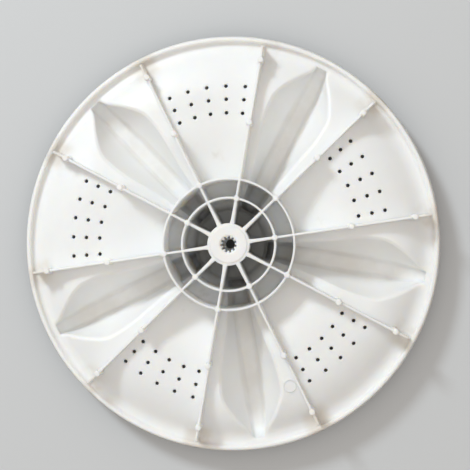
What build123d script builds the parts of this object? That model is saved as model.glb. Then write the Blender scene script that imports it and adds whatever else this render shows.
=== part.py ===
# Washing machine pulsator, one injection moulding, seen from its underside.
# Frame: millimetres, +Z along the drive axis and out of the splined socket,
# so the wash side faces down and its five vane crests lie in the plane z = 0.
import os
from math import acos, asin, atan, cos, degrees, hypot, radians, sin, sqrt, tan

from build123d import *

WALL = 2.5               # moulded wall of the disc, dome and vanes

# heights of the underside
Z_EDGE = 50.0            # boss, both rings and the inner ribs end here
Z_RIB_OUT = 43.1         # the ribs step down to this at the middle nub
Z_DISC = 35.0            # perforated part of the disc
Z_LIP = 24.5             # free edge of the lip
Z_DOME = 18.0            # floor of the dome round the boss

# lip and rim
R_RIM = 165.0            # widest point, the rolled edge on the wash side
R_LIP = 163.1            # outer radius at the free edge
LIP_T = 2.7
LIP_FOOT = 1.3           # the lip's inner face leans in by this at its foot
Z_ROLL = 18.4            # height of the widest point
Z_LAND = 16.2            # flat land of the rim on the wash side

# from R_BEND the disc bends down to its steepest slope, then eases out
# to the nearly level rim that the lip stands on
R_BEND, BEND, STEEPEST = 115.0, 58.0, 36.5
EASE, RIM_SLOPE = 14.8, 5.0
R_TURN = R_BEND + BEND * sin(radians(STEEPEST))
R_EASE = R_BEND + (BEND + EASE) * sin(radians(STEEPEST))
Z_EASE = Z_DISC - BEND + (BEND + EASE) * cos(radians(STEEPEST))
R_JOIN = R_EASE - EASE * sin(radians(RIM_SLOPE))

# dome: a shallow cone with a wide round shoulder
R_DOME_OUT, SHOULDER = 86.0, 90.0
R_DOME_IN, HOLLOW = 32.0, 12.0
DOME_SLOPE = atan((Z_DISC - Z_DOME) / (R_DOME_OUT - R_DOME_IN))
R_LEVEL = R_DOME_OUT + SHOULDER * tan(DOME_SLOPE / 2)
R_SEAT = 25.0            # recess for the cap, wash side
SEAT_DEEP = 2.5
SEAT_WALL = 1.6          # wall round the recess

# boss, rings, ribs
R_BOSS = 16.3
R_FACE = 14.3            # raised face of the boss
FACE_UP = 0.4
R_RING_IN, R_RING_OUT, RING_T = 35.8, 50.5, 1.7
RIB_COUNT, RIB_T = 10, 1.8
R_STEP = 97.4            # the ribs step down just past the middle nub
R_RIB_END = 155.6
SPOKE_T = [(14.0, 4.2), (17.4, 3.2), (19.6, 2.7), (24.0, 2.5), (35.8, 2.0)]

# nubs on the ribs
NUB_R, NUB_UP = 2.3, 0.5
R_NUB_MID, R_NUB_OUT = 94.9, 144.5

# socket
TEETH = 11
R_SPLINE_MAJOR, R_SPLINE_MINOR = 6.3, 4.8
GROOVE_W = (1.8, 1.2)    # groove width at the minor and at the major radius
R_LEAD = 7.1             # a 45 degree lead-in cone opens the mouth to this
SPLINE_TURN = -20.0      # angle of one groove
Z_SOCKET = 29.0          # floor of the socket
R_SCREW = 3.6
Z_WELL = 23.0            # seat of the screw, reached from the wash side
R_WELL = 12.4

# drain holes: five fields of five columns by three rows
HOLE_R = 1.45
HOLE_ROWS = (102.5, 113.1, 123.4)
HOLE_STEP = 7.02
SECTORS = 5
HOLE_SECTOR, VANE_SECTOR = 18.0, 54.0

# raised moulding circle between a vane and a rib
R_MARK, MARK_TURN = 120.0, 284.6
MARK_R, MARK_W, MARK_UP = 4.8, 0.5, 0.35

# vane stations on the underside: radius, half width at the disc,
# half width of the crest channel, height of the channel floor
VANE = [
    (29.0, 7.4, 4.0, 2.5),
    (42.0, 9.4, 4.9, 2.5),
    (58.0, 12.0, 5.8, 2.5),
    (72.5, 15.1, 6.2, 2.5),
    (86.0, 18.6, 6.4, 2.5),
    (100.0, 21.9, 6.4, 2.5),
    (113.0, 23.3, 6.4, 2.8),
    (126.0, 21.0, 6.3, 3.6),
    (137.0, 15.2, 6.0, 5.0),
    (145.0, 9.8, 5.5, 6.8),
    (150.5, 6.4, 4.9, 9.0),
    (153.5, 5.3, 4.1, 12.0),
    (155.3, 4.2, 3.1, 16.0),
]


def rounded_face(points):
    """Face in the XZ plane from (x, z, corner radius) points."""
    edges, ends = [], []
    count = len(points)
    for i, (x, z, r) in enumerate(points):
        here = Vector(x, 0, z)
        before = Vector(points[i - 1][0], 0, points[i - 1][1])
        after = Vector(points[(i + 1) % count][0], 0, points[(i + 1) % count][1])
        if r <= 0:
            ends.append((here, here, None))
            continue
        u, v = (before - here).normalized(), (after - here).normalized()
        half = acos(max(-1.0, min(1.0, u.dot(v)))) / 2
        reach = r / tan(half)
        middle = (u + v).normalized()
        crown = here + middle * (r / sin(half) - r)
        ends.append((here + u * reach, here + v * reach, crown))
    for i, (start, stop, crown) in enumerate(ends):
        if crown is not None:
            edges.append(ThreePointArc(start, crown, stop))
        following = ends[(i + 1) % count][0]
        if (following - stop).length > 1e-6:
            edges.append(Line(stop, following))
    return make_face(Wire(edges))


def turned(points):
    return revolve(rounded_face(points), axis=Axis.Z)


def surface_z(r):
    """Height of the underside between the vanes at radius r."""
    if r > R_TURN:
        return Z_EASE - sqrt(EASE**2 - (R_EASE - min(r, R_JOIN)) ** 2)
    if r > R_BEND:
        return Z_DISC - BEND + sqrt(BEND**2 - (r - R_BEND) ** 2)
    if r > R_LEVEL:
        return Z_DISC
    if r > R_LEVEL - SHOULDER * sin(DOME_SLOPE):
        return Z_DISC - SHOULDER + sqrt(SHOULDER**2 - (R_LEVEL - r) ** 2)
    return Z_DOME + tan(DOME_SLOPE) * max(0.0, r - R_DOME_IN)


def bend(side, slope):
    """Point of the outer bend where it slopes down by an angle."""
    radius, turn_by = BEND - WALL * side, radians(slope)
    return Vector(R_BEND + radius * sin(turn_by), 0, Z_DISC - BEND + radius * cos(turn_by))


def ease(side, slope):
    """Point of the arc that eases the bend out to the rim."""
    radius, turn_by = EASE + WALL * side, radians(slope)
    return Vector(R_EASE - radius * sin(turn_by), 0, Z_EASE - radius * cos(turn_by))


def form(side):
    """Everything above one side of the wall, out to the lip:
    side 0 is the underside, side 1 the wash side."""
    drop = WALL * side
    seat = R_SEAT + SEAT_WALL * (1 - side)
    lean = drop * tan(DOME_SLOPE / 2)
    start = bend(side, 0)
    centre = [(0, Z_DOME + SEAT_DEEP - drop, 0),
              (seat, Z_DOME + SEAT_DEEP - drop, 0),
              (seat + 1.4, Z_DOME - drop, 0),
              (R_DOME_IN + lean, Z_DOME - drop, HOLLOW + drop),
              (R_DOME_OUT + lean, Z_DISC - drop, SHOULDER - drop),
              (R_BEND, start.Z, 0), (R_BEND, 70, 0), (0, 70, 0)]
    inner_wall = R_LIP - LIP_T
    stop = ease(side, RIM_SLOPE)
    if side == 0:
        rim = [Vector(R_JOIN + LIP_FOOT, 0, stop.Z), Vector(inner_wall - LIP_FOOT / 2, 0, stop.Z + 0.8)]
    else:
        rim = [Vector(R_JOIN + 2.4, 0, Z_LAND), Vector(R_RIM - 1.6, 0, Z_LAND),
               Vector(R_RIM - 0.5, 0, Z_LAND + 0.8), Vector(R_RIM, 0, Z_ROLL - 0.5),
               Vector(R_RIM, 0, Z_ROLL + 0.5), Vector(R_LIP, 0, Z_LIP)]
    rim += [Vector(inner_wall, 0, Z_LIP), Vector(inner_wall, 0, 70), Vector(R_BEND, 0, 70), start]
    outline = [ThreePointArc(start, bend(side, STEEPEST / 2), bend(side, STEEPEST)),
               ThreePointArc(bend(side, STEEPEST), ease(side, (STEEPEST + RIM_SLOPE) / 2), stop)]
    at = stop
    for point in rim:
        outline.append(Line(at, point))
        at = point
    return turned(centre) + revolve(make_face(Wire(outline)), axis=Axis.Z)


def vane(side):
    """Leaf-shaped body above one side of a vane's wall, along +X."""
    out, drop = 1.6 * side, WALL * side
    sections = []
    last = len(VANE) - 1
    for i, (r, w, c, z_floor) in enumerate(VANE):
        x = r
        if side and i == 0:
            x = r - 2.0
        if side and i >= last - 2:
            x = r + 0.6 * (i - last + 3)
        z_top = surface_z(hypot(r, w))
        soft = min(1.0, (z_top - z_floor) / 12.0, (w - c) / 2.4)
        right = [
            (w + 1.6 * soft + out, z_top - drop * 0.6),
            (w - 0.7 * soft + out, z_top - 1.5 * soft - drop),
            (c + 0.8 * soft + out, z_floor + 1.6 * soft - drop),
            (c - 1.0 * soft + out * 0.8, z_floor - drop),
        ]
        cap = (w + 1.6 * soft + out, z_top + 5.0)
        loop = [cap] + right + [(-y, z) for y, z in reversed(right)] + [(-cap[0], cap[1])]
        sections.append(Wire(Polyline([Vector(x, y, z) for y, z in loop], close=True).edges()))
    return Solid.make_loft(sections, ruled=False)


def turn(shape, angle):
    return Rotation(0, 0, angle) * shape


def post(r, angle, radius, top):
    column = Cylinder(radius, top, align=(Align.CENTER, Align.CENTER, Align.MIN))
    return turn(Pos(r, 0, 0) * column, angle)


def ring(radius):
    return post(0, 0, radius + RING_T / 2, Z_EDGE) - post(0, 0, radius - RING_T / 2, Z_EDGE)


# both sides of the wall, then the shell between them
vane_turns = [VANE_SECTOR + 72 * k for k in range(SECTORS)]
vane_out, vane_in = vane(1), vane(0)
wash_form = form(1) + [turn(vane_out, angle) for angle in vane_turns]
under_form = form(0) + [turn(vane_in, angle) for angle in vane_turns]
shell = wash_form - under_form

# ribs, spokes, rings, nubs and the boss, all trimmed to the wash side
rib_side = [(12, 0), (12, Z_EDGE), (R_STEP, Z_EDGE), (R_STEP + 0.5, Z_RIB_OUT),
            (R_RIB_END, Z_RIB_OUT - 1.0), (R_RIB_END + 1.4, Z_LIP - 2.0),
            (R_LIP - LIP_T / 2, Z_LIP - 2.0), (R_LIP - LIP_T / 2, 0)]
rib_face = make_face(Wire(Polyline([Vector(x, 0, z) for x, z in rib_side], close=True).edges()))
rib = extrude(rib_face, amount=RIB_T / 2, dir=(0, 1, 0), both=True)
spoke_plan = [(x, t / 2) for x, t in SPOKE_T] + [(x, -t / 2) for x, t in reversed(SPOKE_T)]
spoke_face = make_face(Wire(Polyline([Vector(x, y, 0) for x, y in spoke_plan], close=True).edges()))
spoke = extrude(spoke_face, amount=Z_EDGE, dir=(0, 0, 1))
frame = rib + spoke + post(R_NUB_MID, 0, NUB_R, Z_EDGE + NUB_UP) + post(R_NUB_OUT, 0, NUB_R, Z_RIB_OUT + NUB_UP)
web = [post(0, 0, R_FACE, Z_EDGE + FACE_UP), ring(R_RING_IN), ring(R_RING_OUT)]
for i in range(RIB_COUNT):
    angle = 36 * i
    crossing = R_RING_IN if i % 2 == 0 else R_RING_OUT
    web += [turn(frame, angle), post(crossing, angle, NUB_R, Z_EDGE + NUB_UP)]
web = post(0, 0, R_BOSS, Z_EDGE) + web
body = shell + (web & wash_form)

# socket with its lead-in, screw hole and the well under the cap
up = (Align.CENTER, Align.CENTER, Align.MIN)
lead = R_LEAD - R_SPLINE_MINOR
socket = Pos(0, 0, Z_SOCKET) * Cylinder(R_SPLINE_MINOR, 40, align=up)
socket += Pos(0, 0, Z_EDGE + FACE_UP - lead) * Cone(R_SPLINE_MINOR, R_LEAD + 1.0, lead + 1.0, align=up)
w_in, w_out = GROOVE_W
groove_plan = [(R_SPLINE_MINOR - 1.0, w_in / 2), (R_SPLINE_MINOR, w_in / 2), (R_SPLINE_MAJOR, w_out / 2),
               (R_SPLINE_MAJOR, -w_out / 2), (R_SPLINE_MINOR, -w_in / 2), (R_SPLINE_MINOR - 1.0, -w_in / 2)]
groove_face = make_face(Wire(Polyline([Vector(x, y, Z_SOCKET) for x, y in groove_plan], close=True).edges()))
groove = extrude(groove_face, amount=40, dir=(0, 0, 1))
for i in range(TEETH):
    socket += turn(groove, SPLINE_TURN + 360 / TEETH * i)
body -= socket
body -= Pos(0, 0, -1) * Cylinder(R_SCREW, 60, align=up)
body -= Pos(0, 0, -1) * Cylinder(R_WELL, Z_WELL + 1, align=up)

# drain holes
drill = Pos(0, 0, Z_DISC - 8) * Cylinder(HOLE_R, 20, align=up)
drills = []
for k in range(SECTORS):
    for row in HOLE_ROWS:
        for column in range(-2, 3):
            drills.append(turn(Pos(row, 0, 0) * drill, HOLE_SECTOR + 72 * k + HOLE_STEP * column))
body -= drills

# the moulding circle lies on the start of the bend
mark = Cylinder(MARK_R + MARK_W / 2, MARK_UP + 1.0) - Cylinder(MARK_R - MARK_W / 2, 10)
mark_lean = degrees(asin((R_MARK - R_BEND) / BEND))
mark = Pos(R_MARK, 0, surface_z(R_MARK)) * Rotation(0, mark_lean, 0) * Pos(0, 0, (MARK_UP - 1.0) / 2) * mark
body += turn(mark, MARK_TURN)

# the five crests are levelled so that the part lies flat on them
body -= Box(400, 400, 5, align=(Align.CENTER, Align.CENTER, Align.MAX))

solids = body.solids()
print("solids", len(solids), [round(s.volume / 1000, 1) for s in solids])
box = body.bounding_box()
print("box", [round(v, 2) for v in (*box.min, *box.max)])
os.makedirs("parts", exist_ok=True)
pulsator = solids[0]
export_step(pulsator, "parts/pulsator.step")
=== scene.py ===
import math

import bmesh
import bpy
from mathutils import Matrix, Vector

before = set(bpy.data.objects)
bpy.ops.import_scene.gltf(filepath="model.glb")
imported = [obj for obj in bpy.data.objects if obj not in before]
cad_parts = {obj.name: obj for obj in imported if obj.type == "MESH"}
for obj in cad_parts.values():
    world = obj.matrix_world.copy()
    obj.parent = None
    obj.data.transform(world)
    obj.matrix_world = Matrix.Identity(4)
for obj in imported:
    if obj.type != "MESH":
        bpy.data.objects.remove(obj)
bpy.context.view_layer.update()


# The pulsator is one injection moulding in white polypropylene. Its underside, which faces up here, has a
# satin finish from the mould, and its wash side, which touches the laundry, is polished smooth.
# Wash water has left tea-coloured stains. The hub's recess is darkened with painted shade, the corners by
# the rim have brown patches, and the channels' floors a tea-coloured tint that is partly a deposit and
# partly painted shade.
WHITE = (0.912, 0.917, 0.912, 1.0)
MILKY = (0.888, 0.888, 0.878, 1.0)
TEA_STAIN_AND_SHADE = (0.56, 0.515, 0.455, 1.0)
HUB_PAINTED_SHADE = (0.33, 0.33, 0.32, 1.0)
CORNER_BROWN = (0.60, 0.52, 0.42, 1.0)
UNDERSIDE_ROUGHNESS = 0.42
WASH_ROUGHNESS = 0.22
VANES = 5
RIBS_PER_VANE = 2
BOSS = 0.0130
INNER_RING = 0.0365

white_moulding = bpy.data.materials.new("white_moulding")
white_moulding.use_nodes = True
nodes = white_moulding.node_tree.nodes
links = white_moulding.node_tree.links
plastic = nodes["Principled BSDF"]
place = nodes.new("ShaderNodeTexCoord")


def maths(kind, first, second=0.0, tree=white_moulding.node_tree):
    """Adds, multiplies or otherwise joins two values of a material; some kinds use the first alone."""
    step = tree.nodes.new("ShaderNodeMath")
    step.operation = kind
    for socket, value in zip(step.inputs, (first, second)):
        if isinstance(value, (int, float)):
            socket.default_value = value
        else:
            tree.links.new(value, socket)
    return step.outputs[0]


def product(first, *others):
    """Multiplies all the values together."""
    for other in others:
        first = maths("MULTIPLY", first, other)
    return first


def spread(value, low, high, to_low=0.0, to_high=1.0):
    """Stretches a value between two limits to another pair, smoothly and without passing them."""
    ramp = nodes.new("ShaderNodeMapRange")
    ramp.interpolation_type = "SMOOTHSTEP"
    for name, number in (("From Min", low), ("From Max", high), ("To Min", to_low), ("To Max", to_high)):
        ramp.inputs[name].default_value = number
    links.new(value, ramp.inputs["Value"])
    return ramp.outputs["Result"]


def noise(scale, detail, roughness):
    """One cloud of the moulding's uneven colour or surface; scale is in features per metre."""
    cloud = nodes.new("ShaderNodeTexNoise")
    cloud.inputs["Scale"].default_value = scale
    cloud.inputs["Detail"].default_value = detail
    cloud.inputs["Roughness"].default_value = roughness
    links.new(place.outputs["Object"], cloud.inputs["Vector"])
    return cloud.outputs["Fac"]


def tint(amount, under, over, tree=white_moulding.node_tree):
    """Lays one colour over another by an amount from 0 to 1."""
    mix = tree.nodes.new("ShaderNodeMix")
    mix.data_type = "RGBA"
    tree.links.new(amount, mix.inputs["Factor"])
    for name, colour in (("A", under), ("B", over)):
        socket = next(s for s in mix.inputs if s.name == name and s.type == "RGBA")
        if isinstance(colour, tuple):
            socket.default_value = colour
        else:
            tree.links.new(colour, socket)
    return next(s for s in mix.outputs if s.type == "RGBA")


# Where a point of the moulding is: its height over the bench, its distance from the drive axis, and its turn
# round that axis, which goes full circle once for each vane.
split = nodes.new("ShaderNodeSeparateXYZ")
links.new(place.outputs["Object"], split.inputs[0])
across, along, height = split.outputs
radius = maths("SQRT", maths("ADD", maths("MULTIPLY", across, across), maths("MULTIPLY", along, along)))
vane_turns = maths("MULTIPLY", maths("ARCTAN2", along, across), VANES)

# The wash side is all that faces down. The upright walls belong to the underside.
FACING_DOWN = -0.12
facing = nodes.new("ShaderNodeSeparateXYZ")
links.new(place.outputs["Normal"], facing.inputs[0])
underside = spread(facing.outputs["Z"], FACING_DOWN, 0.0)

# Milky clouds in the plastic, and blotches of stain that thicken towards the hub.
STAIN_STARTS = 0.110
STAIN_FULL = 0.055
milkiness = spread(noise(scale=16.0, detail=4.0, roughness=0.55), low=0.38, high=0.68)
colour = tint(milkiness, WHITE, MILKY)
blotches = spread(noise(scale=46.0, detail=5.0, roughness=0.62), low=0.60, high=0.80, to_high=0.35)
colour = tint(product(blotches, spread(radius, STAIN_STARTS, STAIN_FULL)), colour, TEA_STAIN_AND_SHADE)

# Painted shade: grey low down between the boss and the inner ring, darkest where a vane's channel comes in,
# standing in for the depth of the hub's recess.
# It lies on the floor of the dome and not on the wash side below it.
HUB_SHADE_STARTS = 0.046
HUB_SHADE_FULL = 0.024
DOME_FLOOR = (0.0158, 0.0172)
POCKET_START = (0.0278, 0.0288)
RING_FADE = 0.010
BOSS_FADE = 0.002
low_down = spread(height, HUB_SHADE_STARTS, HUB_SHADE_FULL)
above_floor = maths("MAXIMUM", spread(height, *DOME_FLOOR), spread(radius, *POCKET_START))
inside_ring = spread(radius, INNER_RING, INNER_RING - RING_FADE)
outside_boss = spread(radius, BOSS, BOSS + BOSS_FADE)
by_vane = spread(maths("SINE", vane_turns), low=0.6, high=-0.9, to_low=0.83, to_high=1.0)
hub_painted_shade = product(low_down, underside, above_floor, inside_ring, outside_boss, by_vane)
colour = tint(hub_painted_shade, colour, HUB_PAINTED_SHADE)

# Brown patches in the corners that the ten ribs make with the slope by the rim.
CORNER_STARTS = 0.140
CORNER_FULL = 0.153
rib_turns = maths("MULTIPLY", vane_turns, RIBS_PER_VANE)
by_rib = spread(maths("COSINE", rib_turns), low=0.60, high=0.97)
corner_cloud = noise(scale=38.0, detail=4.0, roughness=0.6)
corner_patches = spread(corner_cloud, low=0.36, high=0.60, to_low=0.05, to_high=0.40)
corner_browning = product(by_rib, underside, spread(radius, CORNER_STARTS, CORNER_FULL), corner_patches)
colour = tint(corner_browning, colour, CORNER_BROWN)

# A thin tea-coloured tint along the floors of the vanes' channels, outside the inner ring,
# partly a deposit and partly painted shade.
CHANNEL_TOP = 0.010
CHANNEL_FLOOR = 0.004
in_channel = product(spread(height, CHANNEL_TOP, CHANNEL_FLOOR), underside)
outside_ring = spread(radius, INNER_RING, INNER_RING + RING_FADE)
deposit_and_shade_cloud = noise(scale=30.0, detail=4.0, roughness=0.6)
deposit_and_shade_patches = spread(deposit_and_shade_cloud, low=0.30, high=0.62, to_low=0.10, to_high=0.30)
colour = tint(product(in_channel, outside_ring, deposit_and_shade_patches), colour, TEA_STAIN_AND_SHADE)

# Fine specks inside the blotches.
specks = spread(noise(scale=420.0, detail=2.0, roughness=0.5), low=0.755, high=0.80, to_high=0.5)
colour = tint(product(specks, blotches), colour, TEA_STAIN_AND_SHADE)
links.new(colour, plastic.inputs["Base Color"])

# The satin of the underside and the polish of the wash side, each a little uneven.
finish_cloud = noise(scale=60.0, detail=4.0, roughness=0.6)
uneven = spread(finish_cloud, low=0.3, high=0.7, to_low=-0.05, to_high=0.06)
satin = maths("MULTIPLY", underside, UNDERSIDE_ROUGHNESS - WASH_ROUGHNESS)
finish_roughness = maths("ADD", maths("ADD", uneven, satin), WASH_ROUGHNESS)
links.new(finish_roughness, plastic.inputs["Roughness"])

# The edges are rounded in the shading, as the mould rounds them: widely in the pockets and the dome, and
# narrowly on the ribs that stand above the disc.
WALL_TOP = 0.035
WALL_FADE = 0.006
THIN_EDGE = 0.0014
SOFT_EDGE = 0.0036
EDGE_SAMPLES = 6
round_edges = nodes.new("ShaderNodeBevel")
round_edges.samples = EDGE_SAMPLES
edge_width = spread(height, WALL_TOP, WALL_TOP - WALL_FADE, THIN_EDGE, SOFT_EDGE)
links.new(edge_width, round_edges.inputs["Radius"])

# The fine grain of the underside on top of the slow ripple that the whole moulding has from shrinking.
GRAIN_SHARE = 0.12
RELIEF_STRENGTH = 0.18
RELIEF_DEPTH = 0.00035
grain = noise(scale=1900.0, detail=3.0, roughness=0.55)
ripple = noise(scale=55.0, detail=2.0, roughness=0.4)
underside_grain = product(grain, underside, GRAIN_SHARE)
relief = nodes.new("ShaderNodeBump")
relief.inputs["Strength"].default_value = RELIEF_STRENGTH
relief.inputs["Distance"].default_value = RELIEF_DEPTH
links.new(round_edges.outputs["Normal"], relief.inputs["Normal"])
links.new(maths("ADD", underside_grain, ripple), relief.inputs["Height"])
links.new(relief.outputs["Normal"], plastic.inputs["Normal"])

# Light goes a few millimetres into the plastic, red a little further than blue.
REFRACTION = 1.49
GLOW_DEPTH = 0.0028
GLOW_COLOURS = (1.0, 0.88, 0.72)
plastic.inputs["IOR"].default_value = REFRACTION
plastic.inputs["Subsurface Weight"].default_value = 1.0
plastic.inputs["Subsurface Radius"].default_value = GLOW_COLOURS
plastic.inputs["Subsurface Scale"].default_value = GLOW_DEPTH

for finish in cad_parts["pulsator"].material_slots:
    finish.material = white_moulding


# The bench that the part lies on with its wash side down: a plain sheet of pale laminate, wider than any
# view. It looks pale to the camera and throws little light back, so that the drain holes look as dark as
# they should.
BENCH = (0.60, 0.615, 0.63, 1.0)
BENCH_BACK = (0.06, 0.06, 0.06, 1.0)
BENCH_ROUGHNESS = 0.7
BENCH_REACH = 12.0
BENCH_GAP = 0.0003


def seen_directly(tree):
    """Is 1 for what the camera, a gloss or a clear body shows, and 0 for the light thrown back."""
    path = tree.nodes.new("ShaderNodeLightPath")
    seen = path.outputs["Is Camera Ray"]
    for kind in ("Is Glossy Ray", "Is Transmission Ray"):
        seen = maths("MAXIMUM", seen, path.outputs[kind], tree)
    return seen


laminate = bpy.data.materials.new("laminate")
laminate.use_nodes = True
sheet_tree = laminate.node_tree
sheet_shader = sheet_tree.nodes["Principled BSDF"]
sheet_shader.inputs["Roughness"].default_value = BENCH_ROUGHNESS
bench_colour = tint(seen_directly(sheet_tree), BENCH_BACK, BENCH, sheet_tree)
sheet_tree.links.new(bench_colour, sheet_shader.inputs["Base Color"])

bench_mesh = bpy.data.meshes.new("bench")
sheet = bmesh.new()
bmesh.ops.create_grid(sheet, x_segments=1, y_segments=1, size=BENCH_REACH)
bmesh.ops.translate(sheet, verts=sheet.verts, vec=(0.0, 0.0, -BENCH_GAP))
sheet.to_mesh(bench_mesh)
sheet.free()
bench_mesh.materials.append(laminate)
bench = bpy.data.objects.new("bench", bench_mesh)
bpy.context.collection.objects.link(bench)


# The light of the photograph: one soft lamp high on the upper left, and the slightly warm light of a room
# with a bright ceiling, which fills the shadows and reaches down into the hub.
RIB_PLANE = 0.050
LAMP_WAY = math.radians(120.6)
LAMP_RISE = math.radians(38.5)
LAMP_REACH = 2.4
LAMP_SIZE = 0.50
LAMP_POWER = 28.5
LAMP_COLOUR = (0.87, 0.95, 1.0)
softbox = bpy.data.lights.new("softbox", "AREA")
softbox.shape = "DISK"
softbox.size = LAMP_SIZE
softbox.energy = LAMP_POWER
softbox.color = LAMP_COLOUR
lamp = bpy.data.objects.new("softbox", softbox)
aim = Vector((
    math.cos(LAMP_RISE) * math.cos(LAMP_WAY),
    math.cos(LAMP_RISE) * math.sin(LAMP_WAY),
    math.sin(LAMP_RISE),
))
lamp.location = aim * LAMP_REACH + Vector((0.0, 0.0, RIB_PLANE))
lamp.rotation_euler = aim.to_track_quat("Z", "Y").to_euler()
bpy.context.collection.objects.link(lamp)

# The room's light grows from the walls to the ceiling by a power of how far a direction points up.
WALL_LIGHT = 0.43
WALL_COLOUR = (1.0, 0.925, 0.84, 1.0)
CEILING_LIGHT = 1.36
CEILING_COLOUR = (1.0, 0.975, 0.945, 1.0)
CEILING_SPREAD = 5.0
BACKDROP = (0.80, 0.81, 0.82, 1.0)
room = bpy.data.worlds.new("room")
room.use_nodes = True
room_tree = room.node_tree
fill = room_tree.nodes["Background"]
way = room_tree.nodes.new("ShaderNodeTexCoord")
rise = room_tree.nodes.new("ShaderNodeSeparateXYZ")
room_tree.links.new(way.outputs["Generated"], rise.inputs[0])
ceiling = maths("POWER", rise.outputs["Z"], CEILING_SPREAD, room_tree)
ceiling.node.use_clamp = True
strength = room_tree.nodes.new("ShaderNodeMapRange")
strength.inputs["To Min"].default_value = WALL_LIGHT
strength.inputs["To Max"].default_value = CEILING_LIGHT
room_tree.links.new(ceiling, strength.inputs["Value"])
room_tree.links.new(strength.outputs["Result"], fill.inputs["Strength"])
room_tree.links.new(tint(ceiling, WALL_COLOUR, CEILING_COLOUR, room_tree), fill.inputs["Color"])

# The camera sees a plain pale backdrop where it looks past the bench.
backdrop = room_tree.nodes.new("ShaderNodeBackground")
backdrop.inputs["Color"].default_value = BACKDROP
either_sky = room_tree.nodes.new("ShaderNodeMixShader")
sky_parts = (seen_directly(room_tree), fill.outputs[0], backdrop.outputs[0])
for socket, part in zip(either_sky.inputs, sky_parts):
    room_tree.links.new(part, socket)
room_tree.links.new(either_sky.outputs[0], room_tree.nodes["World Output"].inputs["Surface"])
bpy.context.scene.world = room


# The camera looks down on the hub, a few degrees off the drive axis, as the photograph does.
# It is placed by its turns, by how far the hub lies beside its axis, and by its reach over the ribs' edges.
TURNS = (("X", 0.40), ("Y", -3.38), ("Z", 8.39))
HUB_OFFSET = (0.00505, 0.00723)
CAMERA_REACH = 0.800
FOCAL_LENGTH = 79.97
SENSOR_WIDTH = 36.0
lens = bpy.data.cameras.new("camera")
lens.sensor_width = SENSOR_WIDTH
lens.lens = FOCAL_LENGTH
eye = bpy.data.objects.new("camera", lens)
look = Matrix.Identity(3)
for axis, degrees in TURNS:
    look = look @ Matrix.Rotation(math.radians(degrees), 3, axis)
look.transpose()
stand = look @ Vector((*HUB_OFFSET, CAMERA_REACH)) + Vector((0.0, 0.0, RIB_PLANE))
eye.matrix_world = Matrix.Translation(stand) @ look.to_4x4()
bpy.context.collection.objects.link(eye)
bpy.context.scene.camera = eye
bpy.context.scene.view_settings.view_transform = "Standard"
